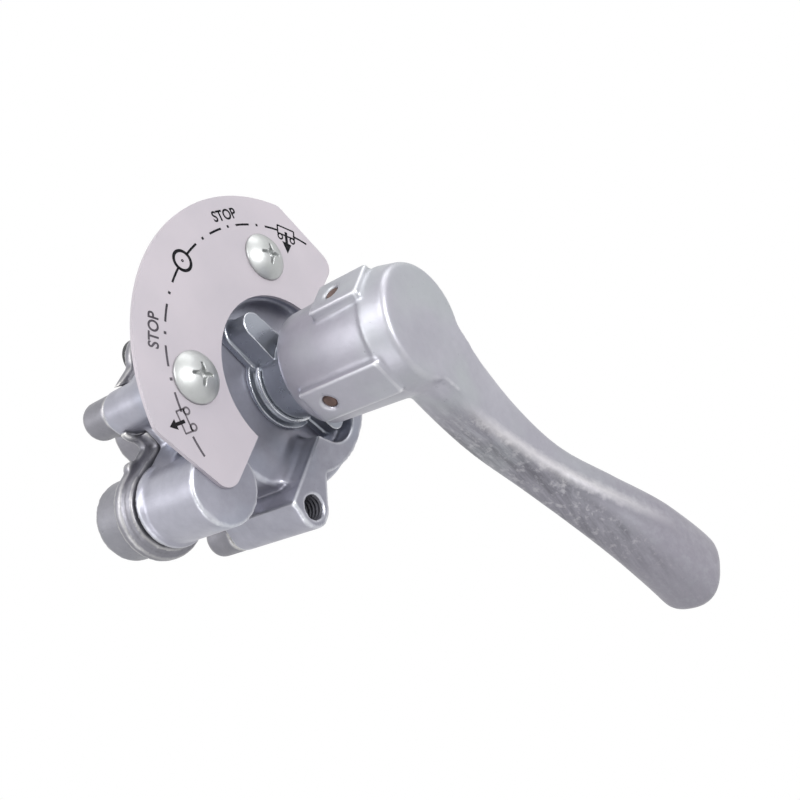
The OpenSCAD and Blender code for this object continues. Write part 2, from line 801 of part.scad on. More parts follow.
// The arm as one loft: sections level with the ground, closed by a domed end.
module arm() {
    sides = 28;
    rings = 26;
    dome_rings = 6;
    dome = 7;
    body_len = lever_len - dome - arm_start;
    function share(i) = min(i / rings, 1);
    function round_off(i) = i <= rings ? 1 : sqrt(1 - pow((i - rings) / (dome_rings + 0.35), 2));
    function drop(i) = arm_start + body_len * share(i)
        + (i > rings ? dome * (i - rings) / dome_rings : 0);
    function power(v, e) = sign(v) * pow(abs(v), e);
    points = [for (i = [0:rings + dome_rings], k = [0:sides - 1])
        let (a = -360 * (k + 0.5) / sides, s = arm_at(share(i)), e = 2 / s[3], off = round_off(i),
            up = power(sin(a), e))
        [s[0] * off * power(cos(a), e) * (1 - s[4] * (1 - up) / 2), -drop(i),
            arm_root_z + grip_sweep * s[2] + s[1] * off * up]];
    total = rings + dome_rings;
    walls = [for (i = [0:total - 1], k = [0:sides - 1])
        let (n = (k + 1) % sides) [i * sides + k, i * sides + n, (i + 1) * sides + n, (i + 1) * sides + k]];
    first = [for (k = [sides - 1:-1:0]) k];
    last = [for (k = [0:sides - 1]) total * sides + k];
    polyhedron(points, concat([first], walls, [last]), convexity = 6);
}

module hand_lever() {
    color([0.72, 0.73, 0.75]) upright() difference() {
        union() {
            rotate_extrude() {
                polygon([[0, hub_open], [hub_r - 0.6, hub_open], [hub_r, hub_open + 0.6],
                    [hub_r + 0.8, head_rear - 0.6], [shoulder_r, head_rear],
                    [head_r, head_front - head_round], [head_r - head_round, head_front - head_round],
                    [head_r - head_round, head_front], [0, head_front]]);
                translate([head_r - head_round, head_front - head_round]) intersection() {
                    circle(head_round);
                    square(head_round);
                }
            }
            arm();
            // Flat pads for the two pins
            translate([-pad_flat, -pad_half_w, pad_rear])
                cube([pad_flat, 2 * pad_half_w, head_rear + 1 - pad_rear]);
            translate([-pad_half_w, 0, top_pin_z - 6])
                cube([2 * pad_half_w, pad_flat + 0.6, head_rear + 1 - top_pin_z + 6]);
        }
        bar([0, 0], hub_bore_r, hub_open - eps, cup_floor);
        bar([0, 0], shaft_r + 0.02, cup_floor - eps, shaft_end + 0.4);
        translate([-pad_flat - 1, 0, side_pin_z]) rotate([0, 90, 0])
            cylinder(r = pin_hole_r, h = pad_flat + 11);
        translate([0, pad_flat + 2, top_pin_z]) rotate([90, 0, 0])
            cylinder(r = pin_hole_r, h = pad_flat + 12);
    }
}

module lever_pins() {
    color([0.45, 0.36, 0.30]) upright() {
        translate([-pad_flat + 0.5, 0, side_pin_z]) rotate([0, 90, 0]) dowel(pad_flat + 9);
        translate([0, pad_flat + 0.1, top_pin_z]) rotate([90, 0, 0]) dowel(pad_flat + 9);
    }
}

// A plain pin with chamfered ends.
module dowel(length) {
    r = pin_hole_r - 0.03;
    rotate_extrude()
        polygon([[0, 0], [r - 0.4, 0], [r, 0.4], [r, length - 0.4], [r - 0.4, length], [0, length]]);
}

square_rear = plate_seat + press_stroke + 0.3;
square_front = chamber_front + 1.4;

module drive_shaft() {
    color(steel) upright() difference() {
        union() {
            bar([0, 0], shaft_r, square_front, shaft_end);
            translate([-square_w / 2, -square_w / 2, square_rear])
                cube([square_w, square_w, square_front + eps - square_rear]);
            bar([0, 0], journal_r, rear_bush_rear + press_stroke + 1.4, square_rear + eps);
        }
        translate([-9, 0, side_pin_z]) rotate([0, 90, 0]) cylinder(r = pin_hole_r, h = 18);
        translate([0, 9, top_pin_z]) rotate([90, 0, 0]) cylinder(r = pin_hole_r, h = 18);
    }
}

module press_spring() {
    color(steel) upright() translate([0, 0, spring_seat])
        coil(press_coil_r, 1.3, cup_floor - spring_seat, 4.5);
}

// Inlet check valve
seat_inset = 2.5;
seat_rear = inlet_rear + port_depth + seat_inset;
seat_bore_r = 4;
poppet_rear = seat_rear + 2.5;
check_lift = 2.5;
poppet_r = 6;
cap_rear = inlet_bore_end - 2;

module inlet_seat() {
    color(brass) upright() translate([inlet[0], inlet[1], 0]) difference() {
        bar([0, 0], inlet_bore_r, seat_rear, poppet_rear);
        bar([0, 0], seat_bore_r, seat_rear - eps, poppet_rear + eps);
    }
}

module check_poppet() {
    color(brass) upright() translate([inlet[0], inlet[1], 0]) difference() {
        union() {
            bar([0, 0], poppet_r, poppet_rear + 1.2, poppet_rear + 3);
            bar([0, 0], 2.4, poppet_rear + 2.9, poppet_rear + 9);
        }
        bar([0, 0], poppet_r - 1.2, poppet_rear + 1.2 - eps, poppet_rear + 1.8);
    }
}

module poppet_seal() {
    color(rubber) upright() bar(inlet, poppet_r - 1.2, poppet_rear + 0.05, poppet_rear + 1.8);
}

module check_spring() {
    color(steel) upright() translate([inlet[0], inlet[1], poppet_rear + 3])
        coil(3.6, 0.8, cap_rear - poppet_rear - 3, 5);
}

module spring_cap() {
    color(brass) upright() translate([inlet[0], inlet[1], 0]) difference() {
        bar([0, 0], inlet_bore_r, cap_rear, inlet_bore_end);
        bar([0, 0], 2.6, cap_rear - eps, inlet_bore_end + eps);
    }
}

module inlet_filter() {
    color([0.75, 0.7, 0.5]) upright() translate([inlet[0], inlet[1], 0]) difference() {
        bar([0, 0], port_thread_r - 0.2, seat_rear - 2.2, seat_rear);
        bar([0, 0], port_thread_r - 1.8, seat_rear - 2.2 - eps, seat_rear - 0.8);
        for (turn = [0:60:300]) rotate(turn) bar([3, 0], 0.8, seat_rear - 1, seat_rear + eps);
    }
}

module exhaust_cap() {
    color(rubber) upright() translate([exhaust_at[0], exhaust_at[1], 0]) difference() {
        union() {
            bar([0, 0], exhaust_boss_r - 0.6, -1, 2);
            bar([0, 0], exhaust_bore_r, 2 - eps, 5);
        }
        for (turn = [0:60:300]) rotate(turn) bar([3, 0], 0.7, -1 - eps, 5 + eps);
    }
}

front_housing();
rear_cover();
body_gasket();
cover_screws();
dial_plate();
dial_screws();
guide_sleeve();
sleeve_screws();
sleeve_bush();
neck_ring();
shaft_seal();
rear_bush();
port_plate();
port_seals();
locating_pins();
slide_disc();
wave_spring();
detent_wheel();
thrust_washer();
detent_ball();
detent_spring();
detent_plug();
hand_lever();
lever_pins();
drive_shaft();
press_spring();
inlet_seat();
check_poppet();
poppet_seal();
check_spring();
spring_cap();
inlet_filter();
exhaust_cap();
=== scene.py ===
# Hand-operated raise and lower levelling valve: rounded castings, finishes and printed dial marks.
# Numbers in the dictionaries are millimetres on the valve's own axes:
# x to the right, y up the dial, z forward along the shaft from a plane just in front of the mounting face.
import json
import bpy
import bmesh
import numpy as np
from mathutils import Matrix


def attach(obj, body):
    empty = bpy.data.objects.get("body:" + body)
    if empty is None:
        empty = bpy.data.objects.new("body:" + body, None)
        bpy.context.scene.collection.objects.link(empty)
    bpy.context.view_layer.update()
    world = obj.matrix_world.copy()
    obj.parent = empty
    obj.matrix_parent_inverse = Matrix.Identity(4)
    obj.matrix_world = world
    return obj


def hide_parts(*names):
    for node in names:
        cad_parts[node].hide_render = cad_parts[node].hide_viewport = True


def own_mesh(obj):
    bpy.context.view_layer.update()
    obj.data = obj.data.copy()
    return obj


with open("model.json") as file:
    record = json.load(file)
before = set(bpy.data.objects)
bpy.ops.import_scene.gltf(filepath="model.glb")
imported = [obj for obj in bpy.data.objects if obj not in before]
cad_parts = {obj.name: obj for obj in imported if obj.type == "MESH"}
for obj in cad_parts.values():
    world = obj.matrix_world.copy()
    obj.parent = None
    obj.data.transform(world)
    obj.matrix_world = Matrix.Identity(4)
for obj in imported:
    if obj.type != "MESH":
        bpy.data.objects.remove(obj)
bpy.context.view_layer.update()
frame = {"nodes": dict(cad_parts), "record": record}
nodes = frame["nodes"]
print("frame loaded,", len(nodes), "nodes")

lift = 1.5      # the mounting face lies this far behind the plane that the numbers start from


def toWorld(points):
    # valve axes in millimetres to metres, with (x, y, z) going to (x, -z - lift, y)
    points = np.asarray(points, dtype=float)
    return np.stack([points[..., 0], -points[..., 2] - lift, points[..., 1]], axis=-1) * 0.001


def gridFaces(rows, columns, closeRows, closeColumns):
    # quad (i, j) joins grid points i and i + 1 with j and j + 1, taken round again where the grid closes
    i, j = np.meshgrid(np.arange(rows - (not closeRows)), np.arange(columns - (not closeColumns)), indexing="ij")
    i, j = i.ravel(), j.ravel()
    nextI, nextJ = (i + 1) % rows, (j + 1) % columns
    return np.stack([i * columns + j, i * columns + nextJ, nextI * columns + nextJ, nextI * columns + j], axis=-1)


def meshFrom(name, parts):
    # each part is (points in millimetres, list of faces); they become one mesh with outward faces
    verts, faces, start = [], [], 0
    for points, polygons in parts:
        flat = toWorld(points).reshape(-1, 3)
        verts.append(flat)
        faces += [[int(k) + start for k in face] for face in polygons]
        start += len(flat)
    mesh = bpy.data.meshes.new(name)
    mesh.from_pydata(np.concatenate(verts).tolist(), [], faces)
    net = bmesh.new()
    net.from_mesh(mesh)
    bmesh.ops.remove_doubles(net, verts=net.verts, dist=1e-7)
    bmesh.ops.dissolve_degenerate(net, edges=net.edges, dist=1e-7)
    bmesh.ops.recalc_face_normals(net, faces=net.faces)
    net.to_mesh(mesh)
    net.free()
    return mesh


def tube(rings):
    # rings is (n, m, 3): a closed loop carried along n places, with a flat cap at both ends
    n, m = rings.shape[:2]
    caps = [list(range(m))[::-1], list(range((n - 1) * m, n * m))]
    return rings, gridFaces(n, m, False, True).tolist() + caps


def revolved(profile, steps, centre=(0, 0)):
    # closed profile of (radius, z) turned about the shaft's direction: x = r cos a, y = r sin a
    profile = np.asarray(profile, dtype=float)
    angle = np.linspace(0, 2 * np.pi, steps, endpoint=False)[:, None]
    r, z = profile[None, :, 0], profile[None, :, 1]
    points = np.stack([centre[0] + r * np.cos(angle), centre[1] + r * np.sin(angle), z + 0 * angle], axis=-1)
    return points, gridFaces(steps, len(profile), True, True).tolist()


def prism(outline, rear, front):
    # a flat outline of (x, y) carried from one depth to the other
    outline = np.asarray(outline, dtype=float)
    depth = np.array([rear, front])[:, None]
    x, y = outline[None, :, 0] + 0 * depth, outline[None, :, 1] + 0 * depth
    return tube(np.stack([x, y, depth + 0 * x], axis=-1))


def addObject(name, data):
    made = bpy.data.objects.new(name, data)
    bpy.context.collection.objects.link(made)
    return made


def addPiece(name, mesh, material, body, smooth=True):
    # smooth is True, False or, to leave the faces as they are, None
    piece = addObject(name, mesh)
    mesh.materials.clear()
    mesh.materials.append(material)
    if smooth is not None:
        mesh.polygons.foreach_set("use_smooth", [smooth] * len(mesh.polygons))
    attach(piece, body)
    return piece


def settledMesh(holder):
    # the mesh that an object's modifiers or letters come to; the object itself goes
    graph = bpy.context.evaluated_depsgraph_get()
    mesh = bpy.data.meshes.new_from_object(holder.evaluated_get(graph), preserve_all_data_layers=True,
                                           depsgraph=graph)
    bpy.data.objects.remove(holder)
    return mesh


def roundedCasting(source, look):
    # a copy of the solid is rebuilt on an even net of small squares and then relaxed:
    # each point goes part of the way to the middle of its neighbours, which rounds edges and fills corners
    mesh = source.copy()
    net = bmesh.new()
    net.from_mesh(mesh)
    bmesh.ops.remove_doubles(net, verts=net.verts, dist=1e-6)
    if "extra" in look:
        net.from_mesh(look["extra"])
    net.to_mesh(mesh)
    net.free()
    holder = addObject("casting", mesh)
    remesh = holder.modifiers.new("net", "REMESH")
    remesh.mode = "VOXEL"
    remesh.voxel_size = look["net"] * 0.001
    relax = holder.modifiers.new("relax", "SMOOTH")
    relax.factor = 0.5
    relax.iterations = look["relax"]
    if "weld" in look:      # points closer than this make the edge mask spotty
        weld = holder.modifiers.new("weld", "WELD")
        weld.merge_threshold = look["weld"] * 0.001
    return settledMesh(holder)


def put(tree, kind, values=None, **settings):
    # one node: settings are its properties, values its sockets, given as numbers or as other nodes' outputs
    made = tree.nodes.new(kind)
    for key, value in settings.items():
        setattr(made, key, value)
    for key, value in (values or {}).items():
        target = made.inputs[key]
        if isinstance(value, bpy.types.NodeSocket):
            tree.links.new(value, target)
        else:
            target.default_value = value
    return made


def blendColour(tree, factor, first, second, mode="MIX"):
    # sockets 0, 6 and 7 of a Mix node are its factor and its two colours
    return put(tree, "ShaderNodeMix", {0: factor, 6: first, 7: second}, data_type="RGBA", blend_type=mode).outputs[2]


def reckon(tree, operation, *values):
    return put(tree, "ShaderNodeMath", dict(enumerate(values)), operation=operation).outputs[0]


def times(tree, first, second):
    return reckon(tree, "MULTIPLY", first, second)


def plus(tree, first, second):
    return reckon(tree, "ADD", first, second)


def minus(tree, first, second):
    return reckon(tree, "SUBTRACT", first, second)


def stretch(tree, value, low, high, to0=0.0, to1=1.0):
    made = put(tree, "ShaderNodeMapRange", {"Value": value, "From Min": low, "From Max": high,
                                            "To Min": to0, "To Max": to1}, clamp=True)
    return made.outputs[0]


def noise(tree, where, scale, detail, roughness=0.5):
    return put(tree, "ShaderNodeTexNoise", {"Vector": where, "Scale": scale, "Detail": detail,
                                            "Roughness": roughness}).outputs[0]


def objectPlace(tree):
    return put(tree, "ShaderNodeTexCoord").outputs["Object"]


def parted(tree, vector):
    return put(tree, "ShaderNodeSeparateXYZ", {"Vector": vector}).outputs


def rgba(colour):
    return (colour[0], colour[1], colour[2], 1.0)


def newGroup(name, colours, numbers):
    # a node group with these inputs, which puts out a colour, a roughness and a normal
    group = bpy.data.node_groups.new(name, "ShaderNodeTree")
    for way, kind, keys in (("INPUT", "NodeSocketColor", colours), ("INPUT", "NodeSocketFloat", numbers),
                            ("OUTPUT", "NodeSocketColor", ["Colour"]), ("OUTPUT", "NodeSocketFloat", ["Roughness"]),
                            ("OUTPUT", "NodeSocketVector", ["Normal"])):
        for key in keys:
            group.interface.new_socket(name=key, in_out=way, socket_type=kind)
    return group, put(group, "NodeGroupInput").outputs


def newMaterial(name):
    material = bpy.data.materials.new(name)
    material.use_nodes = True
    return material, material.node_tree, material.node_tree.nodes["Principled BSDF"]


def finishMaterial(name, group, look):
    # the group's inputs take the values of the same names, and its outputs feed the shader
    material, tree, shader = newMaterial(name)
    finish = put(tree, "ShaderNodeGroup", node_tree=group)
    for key, value in look.items():
        if key != "metal":
            finish.inputs[key].default_value = rgba(value) if isinstance(value, tuple) else value
    for output, target in (("Colour", "Base Color"), ("Roughness", "Roughness"), ("Normal", "Normal")):
        tree.links.new(finish.outputs[output], shader.inputs[target])
    shader.inputs["Metallic"].default_value = look["metal"]
    return material


# noises are given as scale, detail and roughness, and ranges as from low and high to low and high
castPattern = {
    "broad": (70, 4, 0.6), "middle": (330, 5, 0.65), "fine": (2600, 3, 0.7), "tint": (48, 2), "patch": (110, 2),
    "pitScale": 620, "pitRange": (0.0, 0.16, 1.0, 0.0), "patchRange": (0.5, 0.62), "tintRange": (0.48, 0.66),
    "broadRange": (0.35, 0.65), "broadShare": 0.6, "middleRange": (0.3, 0.7), "middleShare": 0.4,
    "edgeRange": (0.515, 0.57), "edgeBreaks": (0.3, 0.55, 0.45, 1.0), "hollowShadeRange": (0.482, 0.42),
    "pitDark": 0.7, "mottleRough": 0.22, "hollowRough": 0.2, "edgeSmooth": 0.1,
    "fineHeight": 0.35, "middleHeight": 0.8, "pitDepth": 2.2, "height": 0.00012,
}


def castGroup():
    # mottling at two sizes, edges lightened as wear and painted highlight, hollows darkened as painted shade, fine
    # grain and scattered pits
    look = castPattern
    group, given = newGroup("castFinish", ("Tone", "Dull And Shade", "Bright", "Tint"),
                            ("Mottle", "Mottle Size", "Edge Wear And Highlight", "Hollow", "Grain", "Pits", "Gloss", "Tinting"))
    where = objectPlace(group)
    size = put(group, "ShaderNodeVectorMath", {0: where, "Scale": given["Mottle Size"]}, operation="SCALE")
    broad = noise(group, size.outputs[0], *look["broad"])
    middle = noise(group, size.outputs[0], *look["middle"])
    fine = noise(group, where, *look["fine"])
    tintNoise = noise(group, where, *look["tint"])
    patch = noise(group, where, *look["patch"])
    pitNoise = put(group, "ShaderNodeTexVoronoi", {"Vector": where, "Scale": look["pitScale"]}).outputs["Distance"]
    pit = times(group, stretch(group, pitNoise, *look["pitRange"]), stretch(group, patch, *look["patchRange"]))
    pit = times(group, pit, given["Pits"])
    mottle = plus(group, times(group, stretch(group, broad, *look["broadRange"]), look["broadShare"]),
                  times(group, stretch(group, middle, *look["middleRange"]), look["middleShare"]))
    mottle = times(group, mottle, given["Mottle"])
    sharp = put(group, "ShaderNodeNewGeometry").outputs["Pointiness"]      # 0.5 on flat faces, more on edges
    # edges are lightened towards the bright colour: partly wear, partly a painted highlight
    edgeWearAndHighlight = times(group, stretch(group, sharp, *look["edgeRange"]), given["Edge Wear And Highlight"])
    edgeWearAndHighlight = times(group, edgeWearAndHighlight, stretch(group, middle, *look["edgeBreaks"]))
    # painted shade: concave creases and corners are darkened towards the dull colour, and made rougher
    hollowShade = times(group, stretch(group, sharp, *look["hollowShadeRange"]), given["Hollow"])
    tinting = times(group, stretch(group, tintNoise, *look["tintRange"]), given["Tinting"])
    colour = blendColour(group, mottle, given["Tone"], given["Dull And Shade"])
    colour = blendColour(group, tinting, colour, given["Tint"])
    colour = blendColour(group, hollowShade, colour, given["Dull And Shade"], "MULTIPLY")
    colour = blendColour(group, edgeWearAndHighlight, colour, given["Bright"])
    colour = blendColour(group, times(group, pit, look["pitDark"]), colour, given["Dull And Shade"], "MULTIPLY")
    rough = plus(group, given["Gloss"], times(group, minus(group, middle, 0.5), look["mottleRough"]))
    rough = plus(group, rough, times(group, hollowShade, look["hollowRough"]))
    rough = minus(group, rough, times(group, edgeWearAndHighlight, look["edgeSmooth"]))
    height = plus(group, times(group, fine, look["fineHeight"]), times(group, middle, look["middleHeight"]))
    height = minus(group, height, times(group, pit, look["pitDepth"]))
    bump = put(group, "ShaderNodeBump", {"Height": height, "Strength": given["Grain"], "Distance": look["height"]})
    put(group, "NodeGroupOutput", {"Colour": colour, "Roughness": rough, "Normal": bump.outputs[0]})
    return group


turnedPattern = {"stain": (260, 4, 0.6), "grain": (3600, 2), "ringScale": 900, "ringBend": 1.5, "ringDetail": 2,
                 "stainRange": (0.42, 0.68), "stainRough": 0.25, "strength": 0.5, "height": 0.00006}


def turnedGroup():
    # fine rings along the shaft's line, light stains and a faint grain, for turned, plated and drawn metal
    look = turnedPattern
    group, given = newGroup("turnedFinish", ("Tone", "Stain"), ("Staining", "Rings", "Grain", "Gloss"))
    where = objectPlace(group)
    stain = noise(group, where, *look["stain"])
    grain = noise(group, where, *look["grain"])
    rings = put(group, "ShaderNodeTexWave", {"Vector": where, "Scale": look["ringScale"],
                                             "Distortion": look["ringBend"], "Detail": look["ringDetail"]},
                wave_type="BANDS", bands_direction="Y").outputs["Fac"]
    staining = times(group, stretch(group, stain, *look["stainRange"]), given["Staining"])
    colour = blendColour(group, staining, given["Tone"], given["Stain"])
    rough = plus(group, given["Gloss"], times(group, minus(group, stain, 0.5), look["stainRough"]))
    height = plus(group, times(group, rings, given["Rings"]), times(group, grain, given["Grain"]))
    bump = put(group, "ShaderNodeBump", {"Height": height, "Strength": look["strength"], "Distance": look["height"]})
    put(group, "NodeGroupOutput", {"Colour": colour, "Roughness": rough, "Normal": bump.outputs[0]})
    return group


# on the arm, in metres as the shader counts: z runs down the arm from 0 at the shaft
flankLook = {
    "streakLean": 0.30, "streakStretch": (1000, 1000, 130), "streak": (0.42, 6, 0.68), "blot": (420, 4, 0.7),
    "facing": (-0.42, -0.80), "top": (-0.014, -0.030), "bottom": (-0.106, -0.078, 0.25, 1.0),
    "ridgeAtHead": -0.0105, "ridgeMoves": [(-0.016, -0.050, 0.006), (-0.050, -0.100, 0.0062)],
    "ridgeTop": (-0.020, -0.036), "ridgeBottom": (-0.098, -0.072), "ridgeFacing": (-0.2, -0.6),
    "wander": 0.0035, "ridgeWearHighlightHalf": 0.0028, "ridgeWearHighlightShare": 0.75, "shade": (-0.0008, -0.0028), "shadeShare": 0.55,
    "darkRange": (0.36, 0.66, 0.15, 0.85), "paleRange": (0.52, 0.66, 0.0, 0.6),
    "grip": (-0.032, -0.090), "gripBlots": (0.3, 0.6, 0.6, 0.95),
    "gripTone": (0.275, 0.262, 0.305), "shadeAndStreakTone": (0.13, 0.128, 0.15), "paleTone": (0.50, 0.49, 0.52),
    "ridgeWearHighlightTone": (0.68, 0.66, 0.68),
}


def armStreaksAndPaintedLight(material):
    # the arm's left flank is pitted and streaked along its length and darkened as painted shade, and the grip is
    # duller than the head:
    # one mask takes faces that look left and lie below the head, the other grows down the arm;
    # along the ridge between face and flank a pale band is partly wear and partly a painted highlight, and painted
    # shade lies just left of it
    look = flankLook
    tree = material.node_tree
    shader = tree.nodes["Principled BSDF"]
    before = shader.inputs["Base Color"].links[0].from_socket
    coords = put(tree, "ShaderNodeTexCoord").outputs
    way, spot = parted(tree, coords["Normal"]), parted(tree, coords["Object"])
    leaning = put(tree, "ShaderNodeMapping", {"Vector": coords["Object"], "Rotation": (look["streakLean"], 0, 0),
                                              "Scale": look["streakStretch"]}).outputs[0]
    streak = noise(tree, leaning, *look["streak"])
    blot = noise(tree, coords["Object"], *look["blot"])
    flank = times(tree, stretch(tree, way["X"], *look["facing"]), stretch(tree, spot["Z"], *look["top"]))
    flank = times(tree, flank, stretch(tree, spot["Z"], *look["bottom"]))
    ridge = look["ridgeAtHead"]
    for start, end, move in look["ridgeMoves"]:
        ridge = plus(tree, ridge, stretch(tree, spot["Z"], start, end, 0.0, move))
    off = plus(tree, minus(tree, spot["X"], ridge), times(tree, minus(tree, blot, 0.5), look["wander"]))
    inFront = times(tree, stretch(tree, spot["Z"], *look["ridgeTop"]), stretch(tree, spot["Z"], *look["ridgeBottom"]))
    inFront = times(tree, stretch(tree, way["Y"], *look["ridgeFacing"]), inFront)
    # a pale band along the ridge: partly wear, partly a painted highlight
    ridgeWearAndHighlight = times(tree, stretch(tree, reckon(tree, "ABSOLUTE", off), look["ridgeWearHighlightHalf"], 0.0), inFront)
    # painted shade in a band just left of the ridge
    ridgeShade = times(tree, stretch(tree, off, *look["shade"]), inFront)
    # faces that look left get streaky painted shade
    shadeAndStreaks = times(tree, flank, stretch(tree, streak, *look["darkRange"]))
    shadeAndStreaks = reckon(tree, "MAXIMUM", shadeAndStreaks, times(tree, ridgeShade, look["shadeShare"]))
    pale = times(tree, flank, stretch(tree, blot, *look["paleRange"]))
    grip = times(tree, stretch(tree, spot["Z"], *look["grip"]), stretch(tree, blot, *look["gripBlots"]))
    colour = blendColour(tree, grip, before, rgba(look["gripTone"]))
    colour = blendColour(tree, shadeAndStreaks, colour, rgba(look["shadeAndStreakTone"]))
    colour = blendColour(tree, pale, colour, rgba(look["paleTone"]))
    colour = blendColour(tree, times(tree, ridgeWearAndHighlight, look["ridgeWearHighlightShare"]), colour, rgba(look["ridgeWearHighlightTone"]))
    tree.links.new(colour, shader.inputs["Base Color"])
    return material


# in these looks the bright colour goes on edges as wear and painted highlight, and the dull colour gives the darker
# mottle, the pits and the painted shade in hollows
leverLook = {
    "Tone": (0.43, 0.425, 0.475), "Dull And Shade": (0.27, 0.265, 0.31), "Bright": (0.88, 0.88, 0.90),
    "Tint": (0.43, 0.47, 0.47), "Mottle": 0.40, "Mottle Size": 1.0, "Edge Wear And Highlight": 0.7, "Hollow": 1.0,
    "Grain": 0.45, "Pits": 0.7, "Gloss": 0.40, "Tinting": 0.45, "metal": 0.65,
}
bodyLook = {
    "Tone": (0.43, 0.43, 0.495), "Dull And Shade": (0.21, 0.21, 0.25), "Bright": (0.84, 0.86, 0.89),
    "Tint": (0.37, 0.41, 0.50), "Mottle": 0.55, "Mottle Size": 0.9, "Edge Wear And Highlight": 0.9, "Hollow": 1.0,
    "Grain": 0.5, "Pits": 0.5, "Gloss": 0.36, "Tinting": 0.45, "metal": 0.7,
}
coverLook = {
    "Tone": (0.275, 0.27, 0.30), "Dull And Shade": (0.15, 0.15, 0.17), "Bright": (0.74, 0.73, 0.71),
    "Tint": (0.27, 0.28, 0.31), "Mottle": 0.6, "Mottle Size": 1.2, "Edge Wear And Highlight": 0.9, "Hollow": 1.0,
    "Grain": 0.8, "Pits": 0.9, "Gloss": 0.44, "Tinting": 0.3, "metal": 0.7,
}
sleeveLook = {
    "Tone": (0.36, 0.38, 0.43), "Dull And Shade": (0.19, 0.21, 0.25), "Bright": (0.86, 0.88, 0.90),
    "Tint": (0.29, 0.33, 0.38), "Mottle": 0.3, "Mottle Size": 1.4, "Edge Wear And Highlight": 1.0, "Hollow": 1.0,
    "Grain": 0.2, "Pits": 0.1, "Gloss": 0.30, "Tinting": 0.4, "metal": 0.75,
}
castFinish, turnedFinish = castGroup(), turnedGroup()
finishes = {
    "cast_lever": armStreaksAndPaintedLight(finishMaterial("castLever", castFinish, leverLook)),
    "cast_body": finishMaterial("castBody", castFinish, bodyLook),
    "cast_cover": finishMaterial("castCover", castFinish, coverLook),
    "cast_sleeve": finishMaterial("castSleeve", castFinish, sleeveLook),
}

turnedKeys = ("Tone", "Stain", "Staining", "Rings", "Grain", "Gloss", "metal")
turnedLooks = {
    "thread": ("cutThread", (0.10, 0.10, 0.115), (0.05, 0.05, 0.06), 0.5, 0.0, 0.4, 0.45, 0.5),
    "zinc_screw": ("zincScrew", (0.47, 0.48, 0.48), (0.38, 0.40, 0.38), 0.45, 0.1, 0.3, 0.40, 0.75),
    "bright_ring": ("brightRing", (0.72, 0.74, 0.77), (0.5, 0.52, 0.55), 0.4, 0.2, 0.3, 0.25, 0.9),
    "machined_steel": ("machinedSteel", (0.60, 0.61, 0.62), (0.42, 0.43, 0.44), 0.4, 0.5, 0.3, 0.28, 1.0),
    "spring_wire": ("springWire", (0.42, 0.43, 0.45), (0.25, 0.25, 0.27), 0.4, 0.1, 0.4, 0.35, 1.0),
    "pin_steel": ("pinSteel", (0.15, 0.095, 0.08), (0.07, 0.045, 0.04), 0.7, 0.1, 1.0, 0.55, 0.5),
    "bearing_bronze": ("bearingBronze", (0.62, 0.44, 0.20), (0.42, 0.28, 0.12), 0.5, 0.5, 0.3, 0.32, 1.0),
    "filter_bronze": ("filterBronze", (0.50, 0.38, 0.20), (0.30, 0.22, 0.12), 0.8, 0.0, 1.8, 0.6, 0.8),
    "slide_ceramic": ("slideCeramic", (0.34, 0.34, 0.37), (0.26, 0.26, 0.28), 0.5, 0.2, 0.3, 0.35, 0.0),
    "seal_rubber": ("sealRubber", (0.025, 0.026, 0.03), (0.05, 0.05, 0.055), 0.6, 0.0, 1.0, 0.6, 0.0),
    "cap_rubber": ("capRubber", (0.022, 0.023, 0.026), (0.05, 0.05, 0.055), 0.6, 0.0, 1.2, 0.55, 0.0),
}
for slotName, (name, *values) in turnedLooks.items():
    finishes[slotName] = finishMaterial(name, turnedFinish, dict(zip(turnedKeys, values)))

sheetLook = {"tone": (0.56, 0.515, 0.555), "cloud": (0.51, 0.475, 0.515), "dust": (0.45, 0.42, 0.45),
             "rolling": (60, 900, 900), "rolledNoise": (1.0, 3), "cloudNoise": (55, 3), "dustNoise": (1500, 2),
             "cloudRange": (0.35, 0.7), "dustRange": (0.66, 0.8, 0.0, 0.25), "rolledRough": 0.2,
             "rolledHeight": 0.5, "dustHeight": 0.3, "strength": 0.15, "height": 0.00005, "gloss": 0.42,
             "metal": 0.15}


def sheetMaterial():
    # satin sheet: faint rolling grain along x, soft clouding and specks of dust
    look = sheetLook
    material, tree, shader = newMaterial("dialSheet")
    where = objectPlace(tree)
    rolled = put(tree, "ShaderNodeMapping", {"Vector": where, "Scale": look["rolling"]}).outputs[0]
    grain = noise(tree, rolled, *look["rolledNoise"])
    cloud = noise(tree, where, *look["cloudNoise"])
    dust = noise(tree, where, *look["dustNoise"])
    colour = blendColour(tree, stretch(tree, cloud, *look["cloudRange"]), rgba(look["tone"]), rgba(look["cloud"]))
    colour = blendColour(tree, stretch(tree, dust, *look["dustRange"]), colour, rgba(look["dust"]))
    rough = plus(tree, look["gloss"], times(tree, minus(tree, grain, 0.5), look["rolledRough"]))
    height = plus(tree, times(tree, grain, look["rolledHeight"]), times(tree, dust, look["dustHeight"]))
    bump = put(tree, "ShaderNodeBump", {"Height": height, "Strength": look["strength"], "Distance": look["height"]})
    tree.links.new(colour, shader.inputs["Base Color"])
    tree.links.new(rough, shader.inputs["Roughness"])
    tree.links.new(bump.outputs[0], shader.inputs["Normal"])
    shader.inputs["Metallic"].default_value = look["metal"]
    return material


finishes["dial_sheet"] = sheetMaterial()

inkLook = {"dense": (0.004, 0.004, 0.006), "rubbed": (-0.004, -0.030), "rubbedShare": 0.75, "speck": (1400, 3),
           "speckRange": (0.5, 0.9, 0.0, 0.3), "roughness": 0.8, "specular": 0.15}
inks = {"ink": ("dialInk", (0.15, 0.135, 0.155)), "faded_ink": ("fadedInk", (0.20, 0.18, 0.20)),
        "dense_ink": ("denseInk", (0.012, 0.011, 0.013))}


